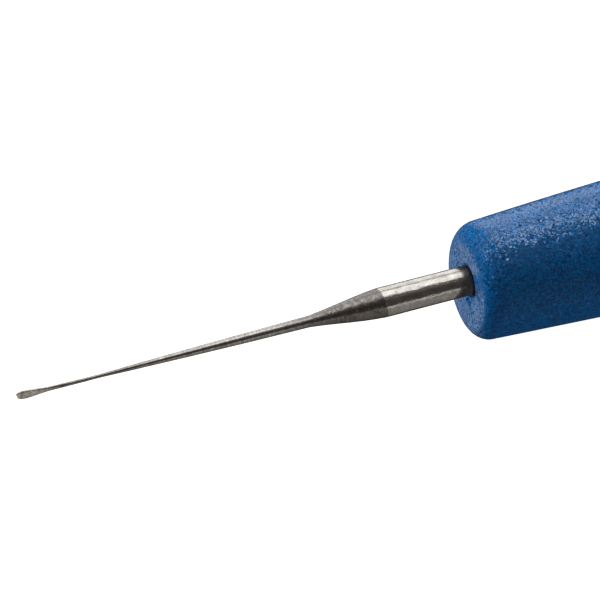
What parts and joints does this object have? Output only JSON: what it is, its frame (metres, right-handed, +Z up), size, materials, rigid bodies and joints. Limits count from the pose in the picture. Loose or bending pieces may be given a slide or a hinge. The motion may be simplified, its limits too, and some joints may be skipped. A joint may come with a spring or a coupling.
{
  "type": "spudger tool",
  "caption": "Spudger with a soft blue foam grip and a steel rod that tapers to a long needle with a small flat blade, for prying and probing fine electronics.",
  "frame": {"origin": "on the bench that the tool lies on, under the middle of its length and width", "axes": "+X along the tool from the blade to the tail, +Z up from the bench"},
  "size_m": [0.1634, 0.016, 0.016],
  "materials": {
    "steel": "polished",
    "foam": "matte",
    "core_plastic": "satin",
    "plug_plastic": "satin"
  },
  "bodies": {
    "root": {"blade_rod": "steel", "foam_grip": "foam", "handle_core": "core_plastic", "tail_plug": "plug_plastic"}
  },
  "joints": []
}
